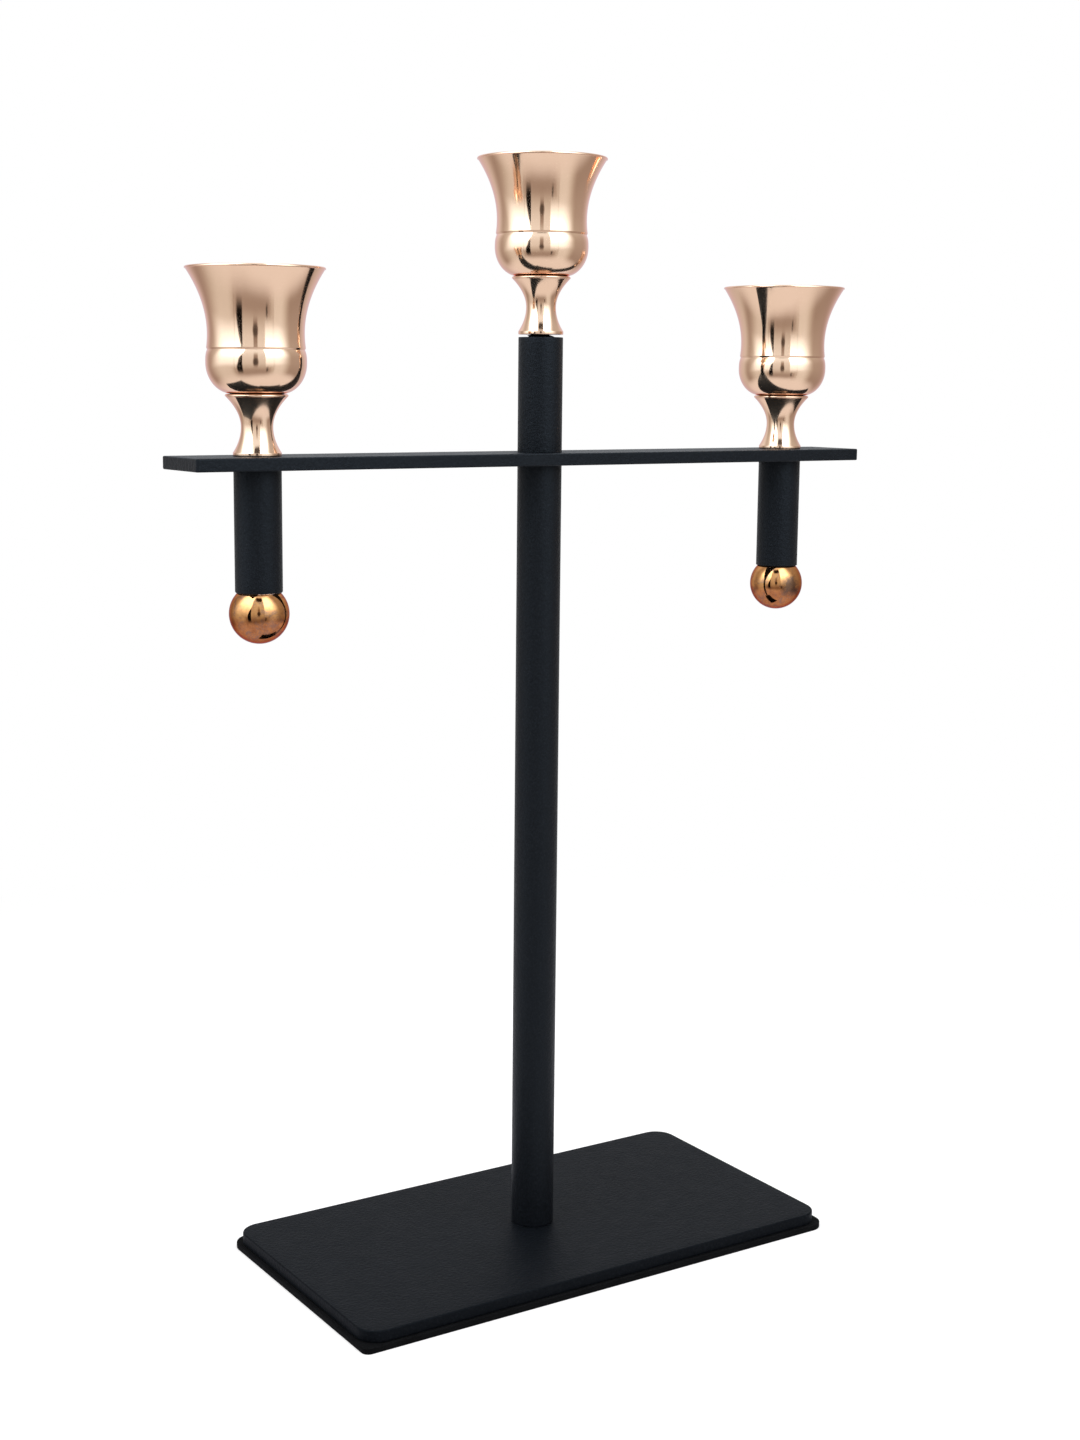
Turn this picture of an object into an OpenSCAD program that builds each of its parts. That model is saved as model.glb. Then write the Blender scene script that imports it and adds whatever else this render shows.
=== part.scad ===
// Three-arm candle holder: a flat base plate on a soft pad, a round column, a flat crossbar,
// three turned tulip cups and two ball finials. Screws and studs in threaded plugs hold it together.
// Millimetres, +Z up. The origin is the middle of the pad's underside, and X runs along the crossbar.

/* [Base] */
// Length of the base plate, along the crossbar
base_l = 250; // [160:1:360]
// Depth of the base plate
base_w = 130; // [90:1:220]
// Thickness of the base plate
base_t = 5.5; // [4.5:0.5:10]
// Radius of the base plate's upright corners
base_corner_r = 10; // [3:0.5:30]
// Radius of the rounding along the base plate's edges
base_edge_r = 0.7; // [0.2:0.1:1.5]
// Thickness of the soft pad under the base plate
pad_t = 2.5; // [1:0.5:6]
// How far the pad stands out around the base plate
pad_ledge = 2; // [0:0.5:5]
// Radius of the pad's upright corners
pad_corner_r = 7; // [1:0.5:20]
// Radius of the rounding along the pad's edges
pad_edge_r = 0.4; // [0.1:0.1:0.5]

/* [Column and tubes] */
// Outside diameter of the column and of the three short tubes
tube_d = 20; // [17:0.5:24]
// Wall of the tubes
tube_wall = 1.2; // [1:0.1:2.5]
// Radius of the rounding on the outside of the tube ends
tube_edge_r = 1; // [0.2:0.1:1]
// Length of the column, from the base plate to the crossbar
column_l = 360; // [200:1:600]
// Length of the tube above the crossbar, which carries the centre cup
upper_tube_l = 51; // [30:1:150]
// Length of each arm tube that hangs under the crossbar
arm_tube_l = 51; // [35:1:150]
// Length of the threaded plug in each tube end
plug_l = 10; // [6:0.5:14]
// Diameter of the raised boss on the plug under the centre cup
boss_d = 10; // [8:0.5:14]
// Height of that boss above the tube
boss_h = 1.1; // [0.5:0.1:3]

/* [Crossbar] */
// Length of the crossbar
bar_l = 350; // [260:1:500]
// Depth of the crossbar
bar_w = 35; // [24:1:60]
// Thickness of the crossbar
bar_t = 5.5; // [3:0.5:10]
// Radius of the crossbar's upright corners
bar_corner_r = 1; // [0.8:0.1:6]
// Radius of the rounding along the crossbar's edges
bar_edge_r = 0.6; // [0.2:0.1:0.8]
// Distance from each end of the crossbar to the arm there
arm_inset = 35; // [14:1:60]

/* [Ball finials] */
// Diameter of the balls
ball_d = 25.4; // [24:0.1:40]
// Depth of the threaded hole in each ball
ball_hole_depth = 14; // [8:0.5:18]

/* [Cup shell] */
// Height of the spun shell, from its flat bottom to the lip
shell_h = 51.5; // [44:0.5:80]
// Wall of the shell
shell_wall = 0.8; // [0.6:0.1:1.5]
// Diameter across the lip
rim_d = 57.6; // [48:0.2:80]
// Diameter at the narrowest ring of the bell
neck_d = 40; // [34:0.2:46]
// Height of that ring above the shell's bottom
neck_h = 24.5; // [21:0.5:32]
// Diameter at the widest ring of the bulb
bulb_d = 41.7; // [38:0.1:48]
// Height of that ring above the shell's bottom
bulb_h = 12.7; // [10:0.1:15]
// Diameter of the flat bottom of the bulb
flat_d = 20; // [16:0.5:24]
// Height of the turned line between bulb and bell above the shell's bottom
line_h = 18; // [16.5:0.1:20]
// Depth of the turned line
line_depth = 0.35; // [0.1:0.05:0.5]
// Height of the turned line's slope up to the bell
line_slope_h = 0.8; // [0.3:0.1:1.5]

/* [Cup stem] */
// Height of the turned stem
stem_h = 25.5; // [20:0.5:50]
// Diameter of the stem's foot
foot_d = 20.2; // [17:0.2:30]
// Height of the upright edge of the foot
foot_edge_h = 1.4; // [0.8:0.1:3]
// Diameter of the stem at its waist
waist_d = 13.3; // [10:0.1:16]
// Height of the waist above the foot
waist_h = 12; // [8:0.5:15]
// Diameter of the flange that carries the shell
flange_d = 26.2; // [20:0.2:30]
// Thickness of that flange
flange_t = 1.2; // [0.8:0.1:3]
// Step between the flange's edge and the stem's curve below it
flange_step = 0.4; // [0.1:0.1:1]

/* [Screws and studs] */
// Diameter of every stud and of the base screw
thread_d = 6; // [4:1:6]
// Depth of the threaded hole in the foot of each cup's stem
foot_hole_depth = 11; // [8:0.5:12]
// Diameter of the countersunk head under the base
base_head_d = 12; // [10:0.5:13]
// Height of the upright edge of the countersunk head
base_head_edge = 0.4; // [0.2:0.1:0.8]
// Width across the flats of the base screw's hexagon socket
base_socket_w = 4; // [3:0.5:4]
// Depth of the base screw's hexagon socket
base_socket_depth = 2; // [1:0.1:2.5]
// Diameter of the small screw that holds each shell on its stem
cup_screw_d = 3; // [2.5:0.5:3.5]
// Length of that screw under its head
cup_screw_l = 8; // [6:0.5:8.5]
// Diameter of that screw's head
head_d = 6; // [5.5:0.1:8]
// Height of that screw's head
head_h = 2.4; // [1.8:0.1:3]
// Radius of the rounding on top of that screw's head
head_edge_r = 0.9; // [0.2:0.1:1.2]
// Width across the flats of that screw's hexagon socket
socket_w = 2; // [1.5:0.1:2.5]
// Depth of that screw's hexagon socket
socket_depth = 1.2; // [0.6:0.1:1.5]
// Diameter of the washer under that screw's head
washer_d = 12; // [9:0.5:16]
// Thickness of that washer
washer_t = 1; // [0.6:0.1:2]

/* [Clearances] */
// Gap around a screw in a plain hole
hole_gap = 0.2; // [0.1:0.05:0.4]
// Gap between a screw and its threaded hole
thread_gap = 0.08; // [0.05:0.01:0.2]
// Gap between a plug and its tube
plug_gap = 0.05; // [0.02:0.01:0.2]
// Gap between a ball and the tube mouth that it nests in
ball_gap = 0.05; // [0.02:0.01:0.3]
// Gap between the top of a ball and the plug above it
ball_top_gap = 0.5; // [0.2:0.1:0.9]
// Distance from a screw's end to the end of its threaded hole
end_gap = 1; // [0.5:0.1:2]

/* [Hidden] */

BLACK = "#202326";
ROSE_GOLD = "#dca98a";
AGED_BRASS = "#b0763f";
STEEL = "silver";
PAD_BLACK = "#141414";

$fn = 96;
// Steps along each curved stretch of the cup's outline, and around its small roundings
curve_steps = 20;
edge_steps = 5;
// How far a cut runs past the face that it opens
cut = 1;

tube_r = tube_d / 2;
tube_inner_r = tube_r - tube_wall;
tube_edge = min(tube_edge_r, tube_wall);
stud_r = thread_d / 2 - thread_gap;
hole_r = thread_d / 2 + hole_gap;
cup_screw_r = cup_screw_d / 2 - thread_gap;
cup_hole_r = cup_screw_d / 2 + hole_gap;
ball_r = ball_d / 2;

base_z = pad_t;
column_z = base_z + base_t;
bar_z = column_z + column_l;
arm_x = bar_l / 2 - arm_inset;
bar_top_z = bar_z + bar_t;
upper_top_z = bar_top_z + upper_tube_l;
arm_end_z = bar_z - arm_tube_l;
// The ball nests in the tube's mouth, so its centre lies this far below the tube's end
ball_drop = sqrt(pow(ball_r, 2) - pow(tube_inner_r, 2)) + ball_gap;
ball_z = arm_end_z - ball_drop;
arm_plug_z = ball_z + ball_r + ball_top_gap;

rim_r = rim_d / 2;
neck_r = neck_d / 2;
bulb_r = bulb_d / 2;
flat_r = flat_d / 2;
foot_r = foot_d / 2;
waist_r = waist_d / 2;
flange_r = flange_d / 2;
flange_z = stem_h - flange_t;
// Half the lip's thickness: the shell's wall ends in a full round
lip_r = shell_wall / 2;
bell_z = line_h + line_slope_h;

// Heights above the foot of a cup: its washer, its screw's head and end, and the end of the stud in its foot
washer_z = stem_h + shell_wall;
head_z = washer_z + washer_t;
screw_end_z = head_z - cup_screw_l;
stud_end_z = foot_hole_depth - end_gap;

// Radius of the bell at height z: a parabola with its narrowest ring at neck_h
function bell_r(z) = neck_r + (rim_r - neck_r) * pow((z - neck_h) / (shell_h - lip_r - neck_h), 2);

// Points along an arc of radius r round [x, z], from angle a0 to a1
function arc(x, z, r, a0, a1) =
  [for (i = [0:edge_steps]) let (a = a0 + (a1 - a0) * i / edge_steps) [x + r * cos(a), z + r * sin(a)]];

// The bulb from its flat bottom up to its widest ring, a quarter ellipse, drawn in by the wall w
function lower_bulb(w) =
  [for (i = [0:curve_steps]) let (a = 90 * i / curve_steps)
    [flat_r + (bulb_r - w - flat_r) * sin(a), w + (bulb_h - w) * (1 - cos(a))]];

// The bulb from its widest ring up to the turned line, a parabola, drawn in by the wall w
function upper_bulb(w) =
  [for (i = [1:curve_steps / 2]) let (u = 2 * i / curve_steps)
    [bulb_r - w - (bulb_r - bell_r(bell_z) + line_depth) * u * u, bulb_h + (line_h - bulb_h) * u]];

// The bell from the turned line up to the lip, drawn in by the wall w
function bell(w) =
  [for (i = [0:curve_steps]) let (z = bell_z + (shell_h - lip_r - bell_z) * i / curve_steps) [bell_r(z) - w, z]];

function reverse(points) = [for (i = [len(points) - 1:-1:0]) points[i]];

// The stem's curve from the waist to radius r at height z: a parabola
function stem_curve(r, z, from, to) =
  [for (i = [from:sign(to - from):to]) let (u = i / curve_steps)
    [waist_r + (r - waist_r) * u * u, waist_h + (z - waist_h) * u]];

// Half of a slab's cross-section, out to half its width, with rounded outer edges
module slab_section(half, t, edge_r) {
  intersection() {
    square([half, t]);
    union() {
      square([half - edge_r, t]);
      translate([0, edge_r]) square([half, t - 2 * edge_r]);
      for (z = [edge_r, t - edge_r])
        translate([half - edge_r, z]) circle(edge_r);
    }
  }
}

// A slab that lies along a length l, with its section across it
module slab_run(l, w, t, edge_r) {
  rotate([90, 0, 90]) linear_extrude(l, center = true) {
    slab_section(w / 2, t, edge_r);
    mirror([1, 0]) slab_section(w / 2, t, edge_r);
  }
}

// A flat plate with round upright corners and rounded edges
module slab(l, w, t, corner_r, edge_r) {
  slab_run(l - 2 * corner_r, w, t, edge_r);
  rotate([0, 0, 90]) slab_run(w - 2 * corner_r, l, t, edge_r);
  for (x = [-1, 1], y = [-1, 1])
    translate([x * (l / 2 - corner_r), y * (w / 2 - corner_r), 0])
      rotate_extrude() slab_section(corner_r, t, edge_r);
}

// A tube with rounded outer ends
module tube(l) {
  color(BLACK)
    rotate_extrude()
      translate([tube_inner_r, 0])
        intersection() {
          square([tube_wall, l]);
          union() {
            square([tube_wall - tube_edge, l]);
            translate([0, tube_edge]) square([tube_wall, l - 2 * tube_edge]);
            for (z = [tube_edge, l - tube_edge])
              translate([tube_wall - tube_edge, z]) circle(tube_edge);
          }
        }
}

// The hole for a countersunk screw, which comes up into a plate of thickness t whose underside is at z = 0
module countersunk_hole(t) {
  head_r = base_head_d / 2 + hole_gap;
  rotate_extrude()
    polygon([[0, -cut], [head_r, -cut], [head_r, base_head_edge],
      [hole_r, base_head_edge + head_r - hole_r], [hole_r, t + cut], [0, t + cut]]);
}

// The threaded plug in a tube's end
module plug() {
  color(STEEL)
    difference() {
      cylinder(h = plug_l, r = tube_inner_r - plug_gap);
      translate([0, 0, -cut]) cylinder(h = plug_l + 2 * cut, d = thread_d);
    }
}

// The plug under the centre cup, with the raised boss that the cup's foot stands on
module boss_plug() {
  color(BLACK)
    difference() {
      union() {
        cylinder(h = plug_l, r = tube_inner_r - plug_gap);
        cylinder(h = plug_l + boss_h, d = boss_d);
      }
      translate([0, 0, -cut]) cylinder(h = plug_l + boss_h + 2 * cut, d = thread_d);
    }
}

module stud(l) {
  color(STEEL) cylinder(h = l, r = stud_r);
}

// A hexagon socket of width w across its flats, which opens upwards at z = 0
module socket(w, depth) {
  translate([0, 0, -depth])
    cylinder(h = depth + cut, r = w / sqrt(3), $fn = 6);
}

module anti_slip_pad() {
  color(PAD_BLACK)
    slab(base_l + 2 * pad_ledge, base_w + 2 * pad_ledge, pad_t, pad_corner_r, pad_edge_r);
}

module base_plate() {
  color(BLACK)
    translate([0, 0, base_z])
      difference() {
        slab(base_l, base_w, base_t, base_corner_r, base_edge_r);
        countersunk_hole(base_t);
      }
}

// Countersunk screw that comes up through the base plate into the column
module base_screw() {
  head_r = base_head_d / 2;
  end_z = base_t + plug_l - end_gap;
  color(STEEL)
    translate([0, 0, base_z])
      difference() {
        rotate_extrude()
          polygon([[0, 0], [head_r, 0], [head_r, base_head_edge],
            [stud_r, base_head_edge + head_r - stud_r], [stud_r, end_z], [0, end_z]]);
        mirror([0, 0, 1]) socket(base_socket_w, base_socket_depth);
      }
}

module column_tube() {
  translate([0, 0, column_z]) tube(column_l);
}

module crossbar() {
  color(BLACK)
    translate([0, 0, bar_z])
      difference() {
        slab(bar_l, bar_w, bar_t, bar_corner_r, bar_edge_r);
        for (x = [-arm_x, 0, arm_x])
          translate([x, 0, -cut]) cylinder(h = bar_t + 2 * cut, r = hole_r);
      }
}

// The stud that holds the column, the crossbar and the upper tube together
module crossbar_stud() {
  translate([0, 0, bar_z - plug_l]) stud(2 * plug_l + bar_t);
}

module upper_tube() {
  translate([0, 0, bar_top_z]) tube(upper_tube_l);
}

// A ball finial with its threaded hole, centred on its own middle
module ball() {
  color(AGED_BRASS)
    difference() {
      sphere(r = ball_r);
      translate([0, 0, ball_r - ball_hole_depth]) cylinder(h = ball_hole_depth + cut, d = thread_d);
    }
}

// The stud that joins a ball to the plug above it, from the ball's middle
module ball_stud() {
  stud_z = ball_r - ball_hole_depth + end_gap;
  translate([0, 0, stud_z]) stud(ball_r + ball_top_gap + plug_l - stud_z);
}

// The spun shell of a cup, with its flat bottom at z = 0
module cup_shell() {
  color(ROSE_GOLD)
    rotate_extrude()
      polygon(concat(
        [[cup_hole_r, 0]],
        lower_bulb(0),
        upper_bulb(0),
        bell(0),
        arc(rim_r - lip_r, shell_h - lip_r, lip_r, 0, 180),
        reverse(bell(shell_wall)),
        reverse(upper_bulb(shell_wall)),
        reverse(lower_bulb(shell_wall)),
        [[cup_hole_r, shell_wall]]));
}

// The turned stem of a cup, with its foot at z = 0. A threaded hole in the foot takes the stud below,
// and one in the top takes the small screw that holds the shell.
module cup_stem() {
  foot_round = foot_edge_h / 3;
  flange_round = flange_t / 2;
  color(ROSE_GOLD)
    rotate_extrude()
      polygon(concat(
        [[thread_d / 2, 0]],
        arc(foot_r - foot_round, foot_round, foot_round, -90, 0),
        stem_curve(foot_r, foot_edge_h, curve_steps, 1),
        stem_curve(flange_r - flange_step, flange_z, 0, curve_steps),
        arc(flange_r - flange_round, stem_h - flange_round, flange_round, -90, 90),
        [[cup_screw_d / 2, stem_h], [cup_screw_d / 2, screw_end_z - end_gap], [0, screw_end_z - end_gap],
          [0, foot_hole_depth], [thread_d / 2, foot_hole_depth]]));
}

module cup_washer() {
  color(STEEL)
    difference() {
      cylinder(h = washer_t, d = washer_d);
      translate([0, 0, -cut]) cylinder(h = washer_t + 2 * cut, r = cup_hole_r);
    }
}

// The small screw that holds a shell on its stem, with its head's seat at z = 0
module cup_screw() {
  color(STEEL)
    difference() {
      union() {
        rotate_extrude() {
          square([head_d / 2 - head_edge_r, head_h]);
          square([head_d / 2, head_h - head_edge_r]);
          intersection() {
            translate([head_d / 2 - head_edge_r, head_h - head_edge_r]) circle(head_edge_r);
            square([head_d / 2, head_h]);
          }
        }
        translate([0, 0, -cup_screw_l]) cylinder(h = cup_screw_l + head_h / 4, r = cup_screw_r);
      }
      translate([0, 0, head_h]) socket(socket_w, socket_depth);
    }
}

// Places for a cup's pieces: on the crossbar at either side, and on the boss of the upper tube
module left_cup(z = 0) { translate([-arm_x, 0, bar_top_z + z]) children(); }
module right_cup(z = 0) { translate([arm_x, 0, bar_top_z + z]) children(); }
module centre_cup(z = 0) { translate([0, 0, upper_top_z + boss_h + z]) children(); }

// Places for the pieces of an arm, by height
module left_arm(z) { translate([-arm_x, 0, z]) children(); }
module right_arm(z) { translate([arm_x, 0, z]) children(); }

anti_slip_pad();
base_plate();
base_screw();
column_tube();
translate([0, 0, column_z]) plug();  // column_bottom_plug
translate([0, 0, bar_z - plug_l]) plug();  // column_top_plug
crossbar();
crossbar_stud();
upper_tube();
translate([0, 0, bar_top_z]) plug();  // upper_bottom_plug
translate([0, 0, upper_top_z - plug_l]) boss_plug();  // upper_top_plug

left_arm(arm_end_z) tube(arm_tube_l);  // left_arm_tube
left_arm(bar_z - plug_l) plug();  // left_arm_top_plug
left_arm(arm_plug_z) plug();  // left_arm_bottom_plug
left_arm(ball_z) ball_stud();  // left_ball_stud
left_arm(ball_z) ball();  // left_ball

right_arm(arm_end_z) tube(arm_tube_l);  // right_arm_tube
right_arm(bar_z - plug_l) plug();  // right_arm_top_plug
right_arm(arm_plug_z) plug();  // right_arm_bottom_plug
right_arm(ball_z) ball_stud();  // right_ball_stud
right_arm(ball_z) ball();  // right_ball

left_arm(bar_z - plug_l) stud(plug_l + bar_t + stud_end_z);  // left_cup_stud
left_cup() cup_stem();  // left_cup_stem
left_cup(stem_h) cup_shell();  // left_cup_shell
left_cup(washer_z) cup_washer();  // left_cup_washer
left_cup(head_z) cup_screw();  // left_cup_screw

translate([0, 0, upper_top_z - plug_l]) stud(plug_l + boss_h + stud_end_z);  // centre_cup_stud
centre_cup() cup_stem();  // centre_cup_stem
centre_cup(stem_h) cup_shell();  // centre_cup_shell
centre_cup(washer_z) cup_washer();  // centre_cup_washer
centre_cup(head_z) cup_screw();  // centre_cup_screw

right_arm(bar_z - plug_l) stud(plug_l + bar_t + stud_end_z);  // right_cup_stud
right_cup() cup_stem();  // right_cup_stem
right_cup(stem_h) cup_shell();  // right_cup_shell
right_cup(washer_z) cup_washer();  // right_cup_washer
right_cup(head_z) cup_screw();  // right_cup_screw
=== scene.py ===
"""Dresses the three-arm candle holder: coated stand, spun rose-gold cups, aged brass balls, foam pad.

Metres, +Z up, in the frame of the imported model. Outlines are written in millimetres and scaled once. First
come the shapes, then the finishes, the pieces made with both, and the studio.
"""

import math

import bmesh
import bpy
import numpy as np
from mathutils import Matrix, Vector


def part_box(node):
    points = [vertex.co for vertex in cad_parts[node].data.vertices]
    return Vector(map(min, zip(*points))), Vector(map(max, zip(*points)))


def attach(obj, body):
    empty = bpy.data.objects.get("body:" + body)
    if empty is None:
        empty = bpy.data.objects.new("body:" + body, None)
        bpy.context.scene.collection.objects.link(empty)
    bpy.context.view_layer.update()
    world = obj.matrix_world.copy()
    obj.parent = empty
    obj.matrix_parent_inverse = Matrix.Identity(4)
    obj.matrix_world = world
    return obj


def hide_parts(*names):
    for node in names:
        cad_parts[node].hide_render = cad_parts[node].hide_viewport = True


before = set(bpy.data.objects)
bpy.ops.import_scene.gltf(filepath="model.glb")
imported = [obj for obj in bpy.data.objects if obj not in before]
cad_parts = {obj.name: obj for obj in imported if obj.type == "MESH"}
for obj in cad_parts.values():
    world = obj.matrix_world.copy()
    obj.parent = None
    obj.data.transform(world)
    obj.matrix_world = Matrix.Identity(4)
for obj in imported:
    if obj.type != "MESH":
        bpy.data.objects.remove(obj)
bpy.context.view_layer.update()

MM = 0.001


def seat(node):
    """The middle of a node's underside and its height, in millimetres."""
    low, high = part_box(node)
    return ((low.x + high.x) / 2 / MM, (low.y + high.y) / 2 / MM, low.z / MM), (high.z - low.z) / MM


# Sizes of the holder in millimetres, the same as in the source of its solids
THREAD_GAP = 0.08
HOLE_GAP = 0.2
PLUG_GAP = 0.05
BASE_CORNER_R = 10.0
BASE_EDGE_R = 0.7
BASE_HEAD_R = 6.0
BASE_HEAD_EDGE = 0.4
BASE_SOCKET_W = 4.0
BASE_SOCKET_DEPTH = 2.0
TUBE_R = 10.0
TUBE_WALL = 1.2
PLUG_R = TUBE_R - TUBE_WALL - PLUG_GAP
THREAD_HOLE_R = 3.0
THREAD_R = THREAD_HOLE_R - THREAD_GAP
SCREW_HOLE_R = THREAD_HOLE_R + HOLE_GAP
BALL_R = 12.7
BALL_HOLE_DEPTH = 14.0
BOSS_H = 1.1
SHELL_H = 51.5
SHELL_WALL = 0.8
NECK_R = 20.0
NECK_H = 24.5
BULB_R = 20.85
BULB_H = 12.7
FLAT_R = 10.0
LINE_H = 18.0
LINE_DEPTH = 0.35
BELL_H = 18.8
STEM_H = 25.5
FOOT_R = 10.1
FOOT_EDGE_H = 1.4
FOOT_HOLE_DEPTH = 11.0
WAIST_R = 6.65
WAIST_H = 12.0
FLANGE_R = 13.1
FLANGE_T = 1.2
FLANGE_STEP = 0.4
TOP_HOLE_R = 1.5
TOP_HOLE_DEPTH = 7.2
CUP_SCREW_R = TOP_HOLE_R - THREAD_GAP
CUP_HOLE_R = TOP_HOLE_R + HOLE_GAP
CUP_HEAD_R = 3.0
CUP_HEAD_H = 2.4
CUP_HEAD_EDGE_R = 0.9
CUP_SOCKET_W = 2.0
CUP_SOCKET_DEPTH = 1.2
WASHER_R = 6.0

# Sizes in millimetres that are the scene's own: a fuller lip on the cups and its step over the bell, the
# tubes' outer edges, the pad's unevenly cut corners and the inner end of its section, the lump of thick paint
# under the centre cup, the washers' eased hole and the screw threads
RIM_R = 28.9
LIP_R = 0.6
LIP_STEP = 0.2
TUBE_EDGE_R = 0.25
PAD_CORNERS_R = (9.0, 9.0, 3.5, 8.0)
PAD_INNER = 3.4
LUMP_LOW_R = 6.2
LUMP_TOP_R = 3.6
WASHER_HOLE_R = 1.75
THREAD_PITCH = 1.0
CUP_SCREW_PITCH = 0.5

# How the surfaces are cut up: the step in millimetres in which an outline is walked, the points round a
# screw, and the rings on each flat side of a plate
WALK_STEP = 0.04
SCREW_AROUND = 48
FLAT_RINGS = 5

# Waves round the lump of paint: how many go round, their height in millimetres, start, and drift upwards
PAINT_WAVES = ((2, 0.42, 0.6, 0.0), (3, 0.34, 2.1, 1.8), (5, 0.20, 4.0, 2.5), (9, 0.12, 1.0, 0.0))
# The lump's spur: how far it stands out in millimetres, its angle in radians, and how far up the lump it is
SPUR_OUT = 1.9
SPUR_ANGLE = 2.72
SPUR_RISE = 0.80

# Places in the finishes, in millimetres: a painted shade darkens the balls between two heights under the arm
# tubes, the right one has one large stain on its front, and the left arm's mouth has painted glints, bright
# metal patches in a narrow ring
(ARM_X, _, ARM_END_H), _ = seat("right_arm_tube")
BALL_GOLDEN_H = ARM_END_H - 6.5
BALL_FULL_SHADE_H = ARM_END_H - 11.0
STAIN_PLACE = (ARM_X - 1.0, -12.5, ARM_END_H - 9.8)
GLINT_RING_H = ARM_END_H - 0.28
GLINT_RING_HALF = 0.22
GLINT_RING_UP_TO_X = 20.0 - ARM_X

# The light tent and the floor, in metres and in degrees of bearing from the front towards the left. The pairs
# are the heights over which the wall's light goes over into the roof's, and the bearings over which the gap
# between the two panels begins and ends
TENT_RINGS = ((1.1, -2.4), (1.1, 0.0), (1.1, 2.2), (0.7, 2.7), (0.02, 2.9))
TENT_AROUND = 97
ROOF_H = (2.2, 2.6)
GAP_RIGHT = (11.2, 12.4)
GAP_LEFT = (60.0, 61.0)
CAMERA_BEARING = 33.2
FLOOR_HALF = 8.0
FLOOR_POINTS = 5
# Strength of the world on all but the camera's, mirrors' and glass's view of it
SKY_LIGHT = 0.45


# Surfaces


def grid_faces(rows, columns, close_across=False, close_along=False):
    """Four-sided faces over a grid of points: point (i, j) joins (i + 1, j), (i + 1, j + 1) and (i, j + 1),
    and the last column or row joins the first where the form closes on itself."""
    index = np.arange(rows * columns).reshape(rows, columns)
    if close_along:
        index = np.vstack([index, index[:1]])
    if close_across:
        index = np.hstack([index, index[:, :1]])
    corners = [index[:-1, :-1], index[:-1, 1:], index[1:, 1:], index[1:, :-1]]
    return np.stack(corners, axis=-1).reshape(-1, 4).tolist()


def add_to_scene(name, data):
    """A new object in the scene that holds a mesh, a lamp or a camera."""
    item = bpy.data.objects.new(name, data)
    bpy.context.scene.collection.objects.link(item)
    return item


def skin(name, points, close_along=False, sharp=38.0):
    """One closed skin over a grid of points in millimetres, each row of them a ring. Points that meet on an
    axis become one, and edges that bend by more than sharp degrees stay sharp."""
    mesh = bpy.data.meshes.new(name)
    mesh.from_pydata(points.reshape(-1, 3) * MM, [], grid_faces(*points.shape[:2], True, close_along))
    cleaned = bmesh.new()
    cleaned.from_mesh(mesh)
    bmesh.ops.remove_doubles(cleaned, verts=cleaned.verts, dist=1e-7)
    bmesh.ops.dissolve_degenerate(cleaned, edges=cleaned.edges, dist=1e-8)
    bmesh.ops.delete(cleaned, geom=[edge for edge in cleaned.edges if edge.is_wire], context="EDGES")
    bmesh.ops.recalc_face_normals(cleaned, faces=cleaned.faces)
    cleaned.to_mesh(mesh)
    cleaned.free()
    mesh.shade_smooth()
    mesh.set_sharp_from_angle(angle=math.radians(sharp))
    return add_to_scene(name, mesh)


def eased(outline, ease, stride, turn, closed=True):
    """The outline with its corners eased: it is walked in short steps, each point becomes the bell-weighted
    mean of its neighbours within ease, and points are kept one per stride of length or per turn degrees of
    bend."""
    corner = np.asarray(outline, float)
    if closed:
        corner = np.vstack([corner, corner[:1]])
    length = np.hypot(*np.diff(corner, axis=0).T)
    corner = np.vstack([corner[:1], corner[1:][length > 1e-9]])
    walked = np.concatenate([[0.0], np.cumsum(length[length > 1e-9])])
    step = np.linspace(0.0, walked[-1], int(walked[-1] / WALK_STEP) + 1, endpoint=not closed)
    walk = np.stack([np.interp(step, walked, corner[:, axis]) for axis in (0, 1)], axis=1)
    reach = max(1, int(ease / WALK_STEP))
    weight = np.hanning(2 * reach + 3)[1:-1]
    weight /= weight.sum()
    if closed:
        padded = np.vstack([walk[-reach:], walk, walk[:reach]])
    else:
        before = 2 * walk[0] - walk[reach:0:-1]
        after = 2 * walk[-1] - walk[-2 : -reach - 2 : -1]
        padded = np.vstack([before, walk, after])
    soft = np.stack([np.convolve(padded[:, axis], weight, "valid") for axis in (0, 1)], axis=1)
    if closed:
        soft = np.vstack([soft, soft[:1]])
    run = np.diff(soft, axis=0)
    heading = np.unwrap(np.arctan2(run[:, 1], run[:, 0]))
    bend = np.abs(np.diff(heading, prepend=heading[:1]))
    spread = np.concatenate([[0.0], np.cumsum(np.hypot(*run.T) / stride + np.degrees(bend) / turn)])
    kept = np.linspace(0.0, spread[-1], max(8, int(spread[-1])) + 1, endpoint=not closed)
    return np.stack([np.interp(kept, spread, soft[:, axis]) for axis in (0, 1)], axis=1)


def turned(name, outline, centre, around, closed=True, radius=None):
    """A turned form: x = cx + r cos a, y = cy + r sin a, z = cz + h for the outline's radius r and height
    h, with a all the way round. radius, where given, is r as a function of the outline's r and h and of the
    angle a."""
    angle = np.linspace(0.0, 2 * np.pi, around, endpoint=False)
    r, h = np.asarray(outline, float).T[:, :, None]
    r = np.broadcast_to(r, (r.shape[0], around)) if radius is None else radius(r, h, angle[None, :])
    level = np.broadcast_to(centre[2] + h, r.shape)
    grid = np.stack([centre[0] + r * np.cos(angle), centre[1] + r * np.sin(angle), level], axis=-1)
    return skin(name, grid, close_along=closed)


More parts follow.
